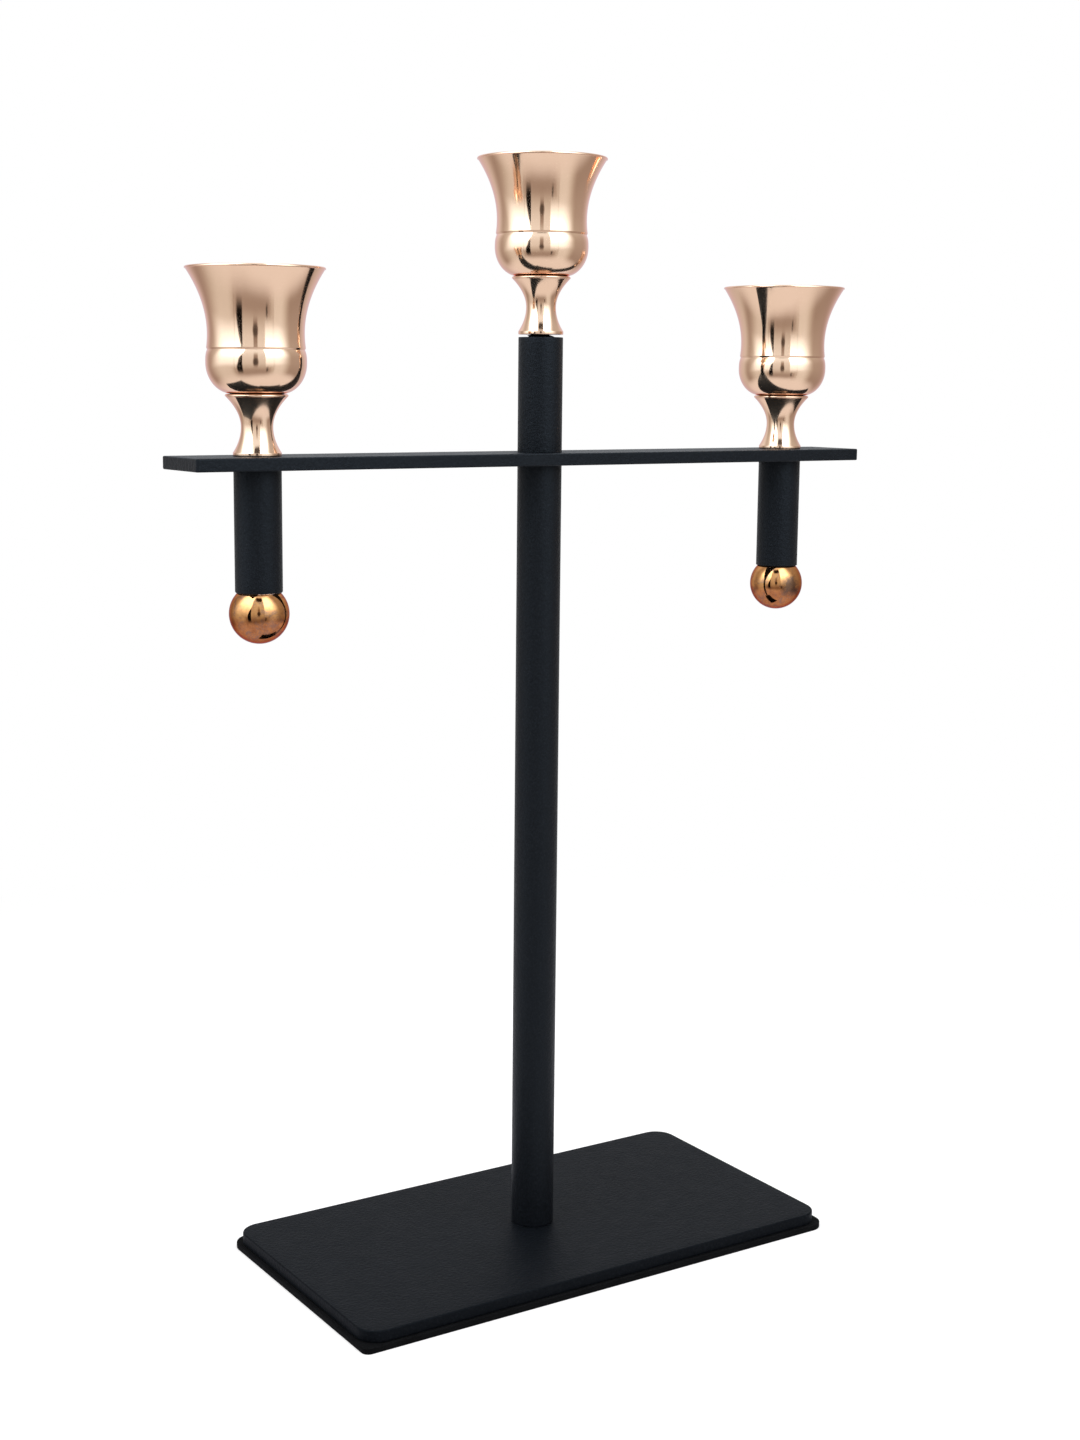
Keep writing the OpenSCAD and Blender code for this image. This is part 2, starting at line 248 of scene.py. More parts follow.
def arc(middle_r, middle_h, radius, start, end, steps=8):
    """Points on an arc: middle + radius (cos a, sin a), with a from start to end in degrees."""
    a = np.radians(np.linspace(start, end, steps + 1))
    return np.stack([middle_r + radius * np.cos(a), middle_h + radius * np.sin(a)], axis=1)


# The base plate and the pad


def rounded_rectangle(length, width, corner_r, inset, turns=12):
    """The outline of a plate with round upright corners, drawn in by inset: four quarter circles of radius
    corner_r - inset round centres that stay corner_r inside the plate's sides. corner_r is one radius, or
    four for the back right, back left, front left and front right corner."""
    quarter = np.linspace(0.0, np.pi / 2, turns + 1)
    angle = (quarter[None, :] + np.arange(4)[:, None] * np.pi / 2).ravel()
    side = np.repeat([[1, 1], [-1, 1], [-1, -1], [1, -1]], turns + 1, axis=0)
    corner_r = np.repeat(np.broadcast_to(corner_r, 4), turns + 1)
    middle = side * np.stack([length / 2 - corner_r, width / 2 - corner_r], axis=1)
    radius = corner_r[None, :] - np.asarray(inset)[:, None]
    return np.stack([middle[:, 0] + radius * np.cos(angle), middle[:, 1] + radius * np.sin(angle)], axis=-1)


def plate(name, low, high, corner_r, section, bore):
    """A flat plate between the corners low and high of its node's box: its section, as pairs of inset and
    height, is carried round the rounded rectangle. Below and above, the skin runs straight in to the bore,
    given as pairs of radius and height, and closes through it."""
    inset, height = np.asarray(section, float).T
    edge = rounded_rectangle((high.x - low.x) / MM, (high.y - low.y) / MM, corner_r, inset)
    angle = np.arctan2(edge[0, :, 1], edge[0, :, 0])
    r, h = np.asarray(bore, float).T
    middle = np.stack([r[:, None] * np.cos(angle), r[:, None] * np.sin(angle)], axis=-1)
    share = np.linspace(0.0, 1.0, FLAT_RINGS + 2)[1:-1, None, None]
    below = middle[-1] + (edge[0] - middle[-1]) * share
    above = edge[-1] + (middle[0] - edge[-1]) * share
    flat = np.vstack([below, edge, above, middle])
    level = np.concatenate([np.full(FLAT_RINGS, height[0]), height, np.full(FLAT_RINGS, height[-1]), h])
    grid = np.dstack([flat, np.broadcast_to(level[:, None] + low.z / MM, flat.shape[:2])])
    return skin(name, grid, close_along=True)


def coated_base_plate(low, high):
    """The base plate: its section has a quarter circle at its lower and its upper edge, and its bore is a
    straight hole above a countersink for the screw's head."""
    thickness = (high.z - low.z) / MM
    shade_below = arc(0.0, BASE_EDGE_R, BASE_EDGE_R, -90, 0)
    upper = arc(0.0, thickness - BASE_EDGE_R, BASE_EDGE_R, 0, 90)
    rounded = [BASE_EDGE_R, 0.0] + np.vstack([shade_below, upper]) * [-1.0, 1.0]
    section = np.vstack([[[BASE_CORNER_R / 2, 0.0]], rounded, [[BASE_CORNER_R / 2, thickness]]])
    sink_r = BASE_HEAD_R + HOLE_GAP
    bore = [
        [SCREW_HOLE_R, thickness], [SCREW_HOLE_R, BASE_HEAD_EDGE + sink_r - SCREW_HOLE_R],
        [sink_r, BASE_HEAD_EDGE], [sink_r, 0.0],
    ]
    return plate("coated_base_plate", low, high, BASE_CORNER_R, section, bore)


def foam_pad(low, high):
    """The foam pad: its section is a straight edge with its corners eased, and it has no bore."""
    thickness = (high.z - low.z) / MM
    section = [[PAD_INNER, 0.0], [0.0, 0.0], [0.0, thickness], [PAD_INNER, thickness]]
    section = eased(section, 0.45, stride=0.5, turn=10.0, closed=False)
    return plate("foam_pad", low, high, PAD_CORNERS_R, section, [[0.0, thickness], [0.0, 0.0]])


# The cups


def bell_radius(h):
    """Radius of the bell at height h: a parabola with its narrowest ring at the neck."""
    return NECK_R + (RIM_R - LIP_STEP - NECK_R) * ((h - NECK_H) / (SHELL_H - LIP_R - NECK_H)) ** 2


def cup_wall(wall, steps=40):
    """One face of the shell from its flat bottom to below the lip, drawn in by wall: a quarter ellipse up
    to the bulb's widest ring, a cubic in to the turned line, then the bell's parabola out."""
    a = np.linspace(0.0, np.pi / 2, steps)
    out, rise = BULB_R - wall - FLAT_R, BULB_H - wall
    low = np.stack([FLAT_R + out * np.sin(a), wall + rise * (1 - np.cos(a))], axis=1)
    u = np.linspace(0.0, 1.0, steps // 2)[1:]
    drop = BULB_R - bell_radius(BELL_H) + LINE_DEPTH
    high = np.stack([BULB_R - wall - drop * u ** 3, BULB_H + (LINE_H - BULB_H) * u], axis=1)
    h = np.linspace(BELL_H, SHELL_H - 1.6 * LIP_R, steps)
    return np.vstack([low, high, np.stack([bell_radius(h) - wall, h], axis=1)])


def cup_shell(name, centre):
    """The spun cup: outer face, a round bead along the lip, and inner face, turned round the cup's axis."""
    outline = np.vstack([
        [[CUP_HOLE_R, 0.0]],
        cup_wall(0.0),
        arc(RIM_R - LIP_R, SHELL_H - LIP_R, LIP_R, -30, 205, steps=30),
        cup_wall(SHELL_WALL)[::-1],
        [[CUP_HOLE_R, SHELL_WALL]],
    ])
    return turned(name, eased(outline, 0.1, stride=0.9, turn=3.5), centre, around=208)


def stem_curve(end_r, end_h, steps=24):
    """The stem's flare from its waist to end_r at end_h: r grows with the square of the way up or down."""
    u = np.linspace(0.0, 1.0, steps)
    return np.stack([WAIST_R + (end_r - WAIST_R) * u * u, WAIST_H + (end_h - WAIST_H) * u], axis=1)


def cup_stem(name, centre):
    """The turned stem: foot, waist and flange, with the threaded holes in its foot and top."""
    edge_r = FOOT_EDGE_H / 3
    flange_edge = FLANGE_T / 2
    outline = np.vstack([
        [[0.0, FOOT_HOLE_DEPTH], [THREAD_HOLE_R, FOOT_HOLE_DEPTH], [THREAD_HOLE_R + 0.05, 0.0]],
        arc(FOOT_R - edge_r, edge_r, edge_r, -90, 0),
        stem_curve(FOOT_R, FOOT_EDGE_H)[::-1],
        stem_curve(FLANGE_R - FLANGE_STEP, STEM_H - FLANGE_T)[1:],
        arc(FLANGE_R - flange_edge, STEM_H - flange_edge, flange_edge, -90, 90),
        [[TOP_HOLE_R, STEM_H], [TOP_HOLE_R, STEM_H - TOP_HOLE_DEPTH], [0.0, STEM_H - TOP_HOLE_DEPTH]],
    ])
    outline = eased(outline, 0.12, stride=0.8, turn=4.0, closed=False)
    return turned(name, outline, centre, around=192, closed=False)


# The tubes, the paint lump and the balls


def coated_tube(name, centre, length, low_r, mouth):
    """A tube with eased outer ends, the lower one by low_r: a closed outline of bore, ends and outside,
    turned round its axis. mouth is how far the lower end reaches down past its seat, its bore opened out
    there to clear the ball."""
    inner = TUBE_R - TUBE_WALL
    outline = np.vstack([
        [[inner, 0.25], [inner + mouth, -mouth]],
        arc(TUBE_R - low_r, low_r - mouth, low_r, -90, 0),
        arc(TUBE_R - TUBE_EDGE_R, length - TUBE_EDGE_R, TUBE_EDGE_R, 0, 90),
        [[inner, length]],
    ])
    return turned(name, eased(outline, 0.1, stride=6.0, turn=7.0), centre, around=128)


def paint_lump(name, centre, length):
    """The plug under the centre cup with its boss: a plain plug up to length, then a lump of thick paint
    that narrows from the tube to the cup, its radius moved by waves round it and by one spur."""
    up = np.linspace(0.0, 1.0, 18)
    outline = np.vstack([
        [[THREAD_HOLE_R, 0.0], [PLUG_R, 0.0], [PLUG_R, length - 0.3], [PLUG_R - 0.15, length]],
        np.stack([np.linspace(LUMP_LOW_R, LUMP_TOP_R, 18), length + BOSS_H * up ** 0.8], axis=1),
        [[THREAD_HOLE_R, length + BOSS_H]],
    ])

    def wavy(r, h, a):
        """Radius of the lump: its waves swell and die on the way up, and its spur is a bell at one place."""
        outside = r > THREAD_HOLE_R + 0.15
        rise = np.clip((h - length + 0.15) / BOSS_H, 0.0, 1.0) * outside
        wave = sum(size * np.sin(n * a + start + drift * rise) for n, size, start, drift in PAINT_WAVES)
        spur = SPUR_OUT * np.exp(-(((a - SPUR_ANGLE) / 0.20) ** 2) - ((rise - SPUR_RISE) / 0.22) ** 2)
        return r + wave * np.sin(np.pi * np.clip(rise, 0.0, 0.92)) * 0.9 + spur * outside

    return turned(name, eased(outline, 0.06, stride=1.2, turn=6.0), centre, around=144, radius=wavy)


def ball(name, centre):
    """A ball finial: a circle round its middle, turned, with the threaded hole down from its top."""
    rim = math.degrees(math.acos(THREAD_HOLE_R / BALL_R))
    outline = np.vstack([
        arc(0.0, 0.0, BALL_R, -90, rim, steps=90),
        [[THREAD_HOLE_R, BALL_R - BALL_HOLE_DEPTH], [0.0, BALL_R - BALL_HOLE_DEPTH]],
    ])
    outline = eased(outline, 0.08, stride=0.45, turn=3.0, closed=False)
    return turned(name, outline, centre, around=192, closed=False)


# The screws, studs and washers


def round_screw():
    """The angles of the points round a screw."""
    return np.linspace(0.0, 2 * np.pi, SCREW_AROUND, endpoint=False)


def hexagon(across):
    """From the middle of a hexagon socket to its side, at each point round: half its width over cos a, with
    a from the middle of the nearest side."""
    return across / 2 / np.cos((round_screw() + np.pi / 6) % (np.pi / 3) - np.pi / 6)


def thread(radius, pitch, start, end):
    """Rows of a screw thread from height start to end: the radius falls from the crest by a wave that
    climbs one pitch a turn, and the crest tapers away over the last pitch at each end. Depths are shares
    of the pitch."""
    height = np.linspace(start, end, max(8, int(abs(end - start) / pitch * 9)))[:, None]
    way = (height / pitch - round_screw()[None, :] / (2 * np.pi)) % 1.0
    groove = np.clip(1.25 * (1 - np.abs(2 * way - 1)) - 0.1, 0.0, 1.0)
    taper = np.clip(np.minimum(np.abs(height - start), np.abs(end - height)) / pitch, 0.0, 1.0)
    depth = 0.55 * pitch
    r = radius - depth * (groove * taper + 0.35 * (1 - taper))
    return r, np.broadcast_to(height, r.shape)


def screw_form(name, centre, rows):
    """A screw or stud from rows of radius and height, each all round or one value, closed on its axis:
    x = cx + r cos a, y = cy + r sin a, z = cz + h."""
    angle = round_screw()
    shapes = [(np.atleast_2d(r).shape[0], SCREW_AROUND) for r, h in rows]
    radius = np.vstack([np.broadcast_to(r, shape) for (r, h), shape in zip(rows, shapes)])
    height = np.vstack([np.broadcast_to(h, shape) for (r, h), shape in zip(rows, shapes)])
    x, y = centre[0] + radius * np.cos(angle), centre[1] + radius * np.sin(angle)
    return skin(name, np.stack([x, y, centre[2] + height], axis=-1), sharp=32.0)


def stud(name, centre, length):
    """A threaded stud with tapered ends."""
    r, h = thread(THREAD_R, THREAD_PITCH, 0.0, length)
    rows = [(0.0, 0.0), (r[0] * 0.97, 0.0), (r, h), (r[-1] * 0.97, length), (0.0, length)]
    return screw_form(name, centre, rows)


def cup_screw(name, centre, length):
    """The small button-head screw in a cup, from its end up: thread, rounded head, hexagon socket."""
    r, h = thread(CUP_SCREW_R, CUP_SCREW_PITCH, 0.0, length - 0.5)
    top = length + CUP_HEAD_H
    dome = arc(CUP_HEAD_R - CUP_HEAD_EDGE_R, top - CUP_HEAD_EDGE_R, CUP_HEAD_EDGE_R, 0, 90)
    wide, deep = hexagon(CUP_SOCKET_W), top - CUP_SOCKET_DEPTH
    rows = [(0.0, 0.0), (r[0] * 0.97, 0.0), (r, h), (CUP_SCREW_R, length - 0.4), (CUP_SCREW_R, length)]
    rows += [(CUP_HEAD_R - 0.12, length), (CUP_HEAD_R, length + 0.12), *dome]
    rows += [(wide + 0.16, top), (wide, top - 0.14), (wide, deep)]
    rows += [(wide * 0.5, deep - 0.06), (0.0, deep - 0.15)]
    return screw_form(name, centre, rows)


def base_screw(name, centre, length):
    """The countersunk screw under the base, head down: hexagon socket, flat head, cone, threaded shank."""
    wide, deep = hexagon(BASE_SOCKET_W), BASE_SOCKET_DEPTH
    cone = BASE_HEAD_R - THREAD_R + BASE_HEAD_EDGE
    r, h = thread(THREAD_R, THREAD_PITCH, cone + 0.6, length)
    rows = [(0.0, deep + 0.2), (wide * 0.5, deep + 0.1), (wide, deep), (wide, 0.2), (wide + 0.2, 0.0)]
    rows += [(BASE_HEAD_R - 0.15, 0.0), (BASE_HEAD_R, 0.12), (BASE_HEAD_R, BASE_HEAD_EDGE)]
    rows += [(THREAD_R, cone), (r, h), (r[-1] * 0.97, length), (0.0, length)]
    return screw_form(name, centre, rows)


def washer(name, centre, thickness):
    """A flat washer with eased edges: a closed outline of its section, turned round the screw's axis."""
    outline = [[WASHER_HOLE_R, 0.0], [WASHER_R, 0.0], [WASHER_R, thickness], [WASHER_HOLE_R, thickness]]
    return turned(name, eased(outline, 0.16, stride=0.8, turn=8.0), centre, around=96)


# Finishes


class Nodes:
    """A node tree under construction. Each input takes a constant or another node's output."""

    def __init__(self, tree):
        """Starts with an empty tree."""
        self.tree = tree
        self.tree.nodes.clear()

    def add(self, kind, inputs=None, **settings):
        """A new node with its settings and inputs."""
        node = self.tree.nodes.new(kind)
        for name, value in settings.items():
            setattr(node, name, value)
        for name, value in (inputs or {}).items():
            self.feed(node.inputs[name], value)
        return node

    def feed(self, socket, value):
        """Links an output to an input, or sets the input to a constant."""
        if isinstance(value, bpy.types.NodeSocket):
            self.tree.links.new(value, socket)
        else:
            socket.default_value = value

    def math(self, operation, a, b=0.0, c=0.0):
        """One step of arithmetic."""
        return self.add("ShaderNodeMath", {0: a, 1: b, 2: c}, operation=operation).outputs[0]

    def plus(self, first, *others):
        """The sum of all that is given."""
        for other in others:
            first = self.math("ADD", first, other)
        return first

    def minus(self, a, b):
        """a less b."""
        return self.math("SUBTRACT", a, b)

    def times(self, first, *others):
        """The product of all that is given."""
        for other in others:
            first = self.math("MULTIPLY", first, other)
        return first

    def larger(self, a, b):
        """The larger of two values."""
        return self.math("MAXIMUM", a, b)

    def away(self, value, middle):
        """How far a value lies from a middle, to either side."""
        return self.math("ABSOLUTE", self.minus(value, middle))

    def span(self, value, low, high, to_low=0.0, to_high=1.0, smooth=False):
        """A value that goes from to_low to to_high between low and high, in a straight line or eased at
        both ends, and stays level outside."""
        kind = "SMOOTHSTEP" if smooth else "LINEAR"
        sockets = {"Value": value, "From Min": low, "From Max": high, "To Min": to_low, "To Max": to_high}
        return self.add("ShaderNodeMapRange", sockets, interpolation_type=kind).outputs["Result"]

    def between(self, value, start, full, full_end, end):
        """1 from full to full_end, easing to 0 at start and at end."""
        rising = self.span(value, start, full, smooth=True)
        return self.times(rising, self.span(value, end, full_end, smooth=True))

    def shaded(self, level, shape, left):
        """The level, of which the share left stays where the shape is 1 and all where it is 0."""
        return self.times(level, self.span(shape, 0.0, 1.0, 1.0, left))

    def blend(self, share, a, b):
        """The colour a where share is 0 and b where it is 1."""
        node = self.add("ShaderNodeMix", data_type="RGBA")
        colours = [socket for socket in node.inputs if socket.type == "RGBA"]
        self.feed(node.inputs["Factor"], share)
        self.feed(colours[0], a)
        self.feed(colours[1], b)
        return [socket for socket in node.outputs if socket.type == "RGBA"][0]


class Finish(Nodes):
    """A procedural material under construction, which reads the piece's Object coordinates."""

    def __init__(self, name):
        """Starts a material with its output and its coordinates."""
        self.material = bpy.data.materials.new(name)
        self.material.use_nodes = True
        super().__init__(self.material.node_tree)
        self.output = self.add("ShaderNodeOutputMaterial")
        self.place = self.add("ShaderNodeTexCoord").outputs["Object"]

    def axes(self):
        """x, y and z of the place on the piece."""
        return self.add("ShaderNodeSeparateXYZ", {"Vector": self.place}).outputs

    def noise(self, scale, detail=3.0, roughness=0.55, place=None, distortion=0.0):
        """Clouds, about scale of them to a metre."""
        settings = {"Vector": place or self.place, "Scale": scale, "Detail": detail, "Roughness": roughness}
        return self.add("ShaderNodeTexNoise", {**settings, "Distortion": distortion}).outputs["Fac"]

    def cells(self, scale, output="Distance"):
        """Cells, about scale of them to a metre: the way from each one's middle, or its own chance colour."""
        return self.add("ShaderNodeTexVoronoi", {"Vector": self.place, "Scale": scale}).outputs[output]

    def bump(self, height, distance, strength):
        """The normal of a surface raised by a height."""
        inputs = {"Height": height, "Distance": distance, "Strength": strength}
        return self.add("ShaderNodeBump", inputs).outputs["Normal"]

    def glow(self, colour, strength):
        """A surface that gives off light."""
        return self.add("ShaderNodeEmission", {"Color": colour, "Strength": strength}).outputs[0]

    def mix(self, share, a, b):
        """The surface a where share is 0 and b where it is 1."""
        return self.add("ShaderNodeMixShader", {0: share, 1: a, 2: b}).outputs[0]

    def finished(self, surface):
        """The material, with its surface in place."""
        self.tree.links.new(surface, self.output.inputs["Surface"])
        return self.material

    def surface(self, **sockets):
        """The material as one principled surface with these inputs."""
        inputs = {name.replace("_", " "): value for name, value in sockets.items()}
        return self.finished(self.add("ShaderNodeBsdfPrincipled", inputs).outputs["BSDF"])


def powder_coat(name, sheen):
    """Black powder coat with a fine grain: soft mottling in colour and gloss, paler beads, an orange-peel
    swell under the grain, stray dust, and painted glints, bright metal patches in a narrow ring at the left
    arm's mouth. sheen is its specular level."""
    f = Finish(name)
    dark, pale = (0.0036, 0.0045, 0.0060, 1), (0.0046, 0.0056, 0.0074, 1)
    colour = f.blend(f.span(f.noise(70.0, 4.0), 0.3, 0.7), dark, pale)
    beads = f.span(f.noise(1100.0, 3.0, 0.7), 0.50, 0.72)
    colour = f.blend(beads, colour, (0.0090, 0.0105, 0.0130, 1))
    speck_size = f.span(f.cells(230.0, "Color"), 0.93, 1.0, 0.0, 0.070)
    dust = f.math("LESS_THAN", f.cells(230.0), speck_size)
    colour = f.blend(f.times(dust, 0.60), colour, (0.30, 0.31, 0.33, 1))
    x, _, z = f.axes()
    # Painted glints: bright metal patches in a narrow ring at the left arm's mouth
    ring = f.math("LESS_THAN", f.away(z, GLINT_RING_H * MM), GLINT_RING_HALF * MM)
    left = f.math("LESS_THAN", x, GLINT_RING_UP_TO_X * MM)
    glint_patches = f.math("GREATER_THAN", f.noise(330.0, 2.0, 0.6), 0.585)
    glint_metal = f.times(ring, left, glint_patches)
    colour = f.blend(glint_metal, colour, (0.82, 0.82, 0.84, 1))
    grain = f.noise(2100.0, 2.0, 0.6)
    swell = f.noise(650.0, 2.0, 0.55)
    normal = f.bump(f.plus(grain, f.times(swell, 2.2)), 0.00012, 0.85)
    rough = f.span(f.noise(160.0, 3.0), 0.3, 0.7, 0.43, 0.48)
    return f.surface(
        Base_Color=colour, Roughness=rough, Normal=normal, Metallic=glint_metal, Specular_IOR_Level=sheen,
        IOR=1.5, Specular_Tint=(0.78, 0.90, 1.0, 1),
    )


def rose_gold():
    """Polished rose gold: a mirror with a slow drift of tone, a few hairline wipes, and fine turning lines
    round each cup's axis, which draw reflections out up and down. The cups stand as far apart as the arms
    reach out, so x wrapped to half of that on either side is the way from the cup's own axis. (-y, x) from
    that axis runs round it and is the shader's tangent, and a quarter turn from the tangent is the way up
    the cup."""
    f = Finish("rose_gold")
    x, y, z = f.axes()
    across = f.math("WRAP", x, ARM_X / 2 * MM, -ARM_X / 2 * MM)
    angle = f.math("ARCTAN2", y, across)
    lines = f.add("ShaderNodeCombineXYZ", {"X": f.times(angle, 0.0015), "Z": z}).outputs[0]
    turning = f.noise(2600.0, 2.0, 0.6, lines)
    deep, light = (0.850, 0.592, 0.405, 1), (0.880, 0.618, 0.430, 1)
    colour = f.blend(f.span(f.noise(38.0, 3.0), 0.3, 0.7), deep, light)
    wipes = f.span(f.noise(210.0, 4.0), 0.4, 0.8, 0.085, 0.115)
    rough = f.plus(f.span(turning, 0.35, 0.65, 0.0, 0.012), wipes)
    round_axis = f.add("ShaderNodeCombineXYZ", {"X": f.times(y, -1.0), "Y": across}).outputs[0]
    return f.surface(
        Base_Color=colour, Roughness=rough, Metallic=1.0, Specular_Tint=(1.0, 0.80, 0.88, 1),
        Normal=f.bump(turning, 0.000001, 0.5), Anisotropic=0.95, Anisotropic_Rotation=0.25,
        Tangent=round_axis,
    )


def aged_brass():
    """Brass balls: golden metal above and a painted shade below that turns it darker and coppery, darker and
    redder where it is seen at a slant, with fine mottling that grows in the painted shade, blotches of
    plum-grey tarnish and one large stain on the right ball. The stain is all that lies within reach of its
    place, its edge frayed by clouds."""
    f = Finish("aged_brass")
    _, _, z = f.axes()
    cloud = f.noise(130.0, 5.0, 0.6, distortion=0.6)
    height = f.plus(z, f.times(cloud, 0.004))
    # Painted shade: below the golden height the ball turns darker and coppery
    shade_below = f.span(height, BALL_GOLDEN_H * MM, BALL_FULL_SHADE_H * MM, smooth=True)
    golden, shaded_coppery = (0.65, 0.322, 0.118, 1), (0.50, 0.190, 0.070, 1)
    colour = f.blend(shade_below, golden, shaded_coppery)
    mottle = f.span(f.noise(480.0, 5.0, 0.75), 0.40, 0.66)
    # The mottling grows stronger in the painted shade below
    mottle = f.times(mottle, f.span(shade_below, 0.0, 1.0, 0.36, 0.80))
    colour = f.blend(mottle, colour, (0.27, 0.095, 0.042, 1))
    tarnish = f.span(f.noise(170.0, 6.0, 0.75, distortion=1.2), 0.47, 0.64, smooth=True)
    colour = f.blend(f.times(tarnish, 0.60), colour, (0.22, 0.14, 0.12, 1))
    stain_place = [value * MM for value in STAIN_PLACE]
    way = f.add("ShaderNodeVectorMath", {0: f.place, 1: stain_place}, operation="DISTANCE")
    frayed = f.plus(way.outputs["Value"], f.times(f.noise(330.0, 6.0, 0.75), 0.011))
    stain = f.span(frayed, 0.0118, 0.0078, smooth=True)
    colour = f.blend(f.times(stain, 0.80), colour, (0.115, 0.072, 0.055, 1))
    rough = f.plus(f.span(cloud, 0.3, 0.8, 0.012, 0.045), f.times(shade_below, 0.05))
    rough = f.plus(rough, f.times(f.larger(tarnish, stain), 0.14))
    return f.surface(
        Base_Color=colour, Roughness=rough, Metallic=1.0, Specular_Tint=(0.60, 0.34, 0.40, 1),
        Normal=f.bump(f.noise(900.0, 3.0), 0.000006, 0.5),
    )


def zinc_steel():
    """Zinc-plated steel: a grey metal with spangle-sized patches, some faintly yellow, and a fine grain."""
    f = Finish("zinc_steel")
    grey, yellowish = (0.56, 0.57, 0.59, 1), (0.66, 0.65, 0.61, 1)
    colour = f.blend(f.span(f.cells(420.0, "Color"), 0.0, 1.0), grey, yellowish)
    rough = f.span(f.noise(600.0, 3.0), 0.3, 0.7, 0.26, 0.42)
    normal = f.bump(f.noise(1800.0, 2.0), 0.00001, 0.6)
    return f.surface(Base_Color=colour, Roughness=rough, Metallic=1.0, Normal=normal)


def foam_rubber():
    """Soft black foam: open cells pricked into a matt face, a little grey where it has been brushed."""
    f = Finish("soft_black_foam")
    black, grey = (0.0028, 0.0029, 0.0033, 1), (0.0058, 0.0060, 0.0068, 1)
    colour = f.blend(f.span(f.noise(90.0, 4.0), 0.4, 0.8), black, grey)
    cells = f.cells(1500.0)
    return f.surface(
        Base_Color=colour, Roughness=f.span(cells, 0.0, 0.8, 0.98, 0.86), Specular_IOR_Level=0.05,
        Sheen_Weight=0.01, Sheen_Roughness=0.6,
        Normal=f.bump(f.plus(cells, f.noise(500.0, 3.0)), 0.00015, 0.8),
    )


def bearing_of(f, x, y):
    """Bearing of a place in degrees, from the front towards the left."""
    return f.times(f.math("ARCTAN2", f.times(x, -1.0), f.times(y, -1.0)), math.degrees(1.0))


def pale_floor():
    """The pale floor. It takes the holder's shadow near by and is plain white to the camera further out;
    polished metal sees it as a lit table that fades out towards the tent's cloth, sooner where the tent has
    its gap."""
    f = Finish("pale_floor")
    x, y, _ = f.axes()
    out = f.math("SQRT", f.plus(f.math("POWER", x, 2.0), f.math("POWER", y, 2.0)))
    rays = f.add("ShaderNodeLightPath").outputs
    seen = rays["Is Camera Ray"]
    lit = f.add("ShaderNodeBsdfDiffuse", {"Color": (0.80, 0.80, 0.80, 1)}).outputs[0]
    lift = f.glow((1, 1, 1, 1), f.times(seen, 0.42))
    near = f.add("ShaderNodeAddShader", {0: lit, 1: lift}).outputs[0]
    whitened = f.times(f.span(out, 0.25, 0.75, smooth=True), seen)
    shown = f.mix(whitened, near, f.glow((1, 1, 1, 1), 1.0))
    gap = f.span(f.away(bearing_of(f, x, y), 38.0), 38.0, 20.0)
    reach = f.math("DIVIDE", f.minus(out, 0.36), f.span(gap, 0.0, 1.0, 0.52, 0.40))
    table = f.glow((1.0, 1.0, 1.07, 1), 0.94)
    beyond = f.add("ShaderNodeBsdfTransparent").outputs[0]
    mirror = f.mix(f.span(reach, 0.0, 1.0, smooth=True), table, beyond)
    mirrored = f.larger(rays["Is Glossy Ray"], rays["Is Transmission Ray"])
    return f.finished(f.mix(mirrored, shown, mirror))


def tent_light(f, degrees, height):
    """How bright the tent's cloth is at a bearing and height: dim all round, or two panels that grow
    brighter upwards with a dimmer gap between them, whichever is more. High up, all of it grows brighter,
    what is bright already most of all, and the roof is lit evenly."""
    cloth = f.span(height, 0.0, 0.6, 0.40, 0.50)
    right = f.times(f.between(degrees, -57.0, -26.0, -15.0, 5.0), 0.45)
    left = f.times(f.between(degrees, 68.0, 92.0, 108.0, 150.0), 0.38)
    back = f.times(f.between(f.math("WRAP", degrees, 360.0, 0.0), 146.0, 174.0, 232.0, 275.0), 0.30)
    dim = f.plus(cloth, right, left, back)
    right_end = f.span(degrees, -60.0, -16.0, smooth=True)
    right_panel = f.times(right_end, f.span(degrees, *GAP_RIGHT[::-1]))
    from_left = f.minus(f.span(height, 0.3, 0.68, 150.0, 138.0), degrees)
    left_end = f.span(f.math("DIVIDE", from_left, 40.0), 0.0, 1.0, smooth=True)
    left_panel = f.times(left_end, f.span(degrees, *GAP_LEFT))
    panel_rise = f.times(f.math("POWER", f.span(height, 0.05, 0.68), 1.35), 1.95)
    panels = f.times(f.plus(right_panel, left_panel), panel_rise)
    gap = f.times(f.span(degrees, *GAP_RIGHT), f.span(degrees, *GAP_LEFT[::-1]))
    level = f.larger(dim, f.plus(cloth, panels, f.times(gap, f.span(height, -0.03, 0.50, 0.0, 0.42))))
    level = f.times(level, f.span(height, 0.55, 1.10, 1.0, 1.25))
    lamps = f.larger(f.minus(level, 1.3), 0.0)
    level = f.plus(level, f.times(lamps, f.span(height, 0.68, 1.05)))
    return f.plus(f.times(level, f.span(height, *ROOF_H[::-1])), f.span(height, *ROOF_H, 0.0, 1.6))


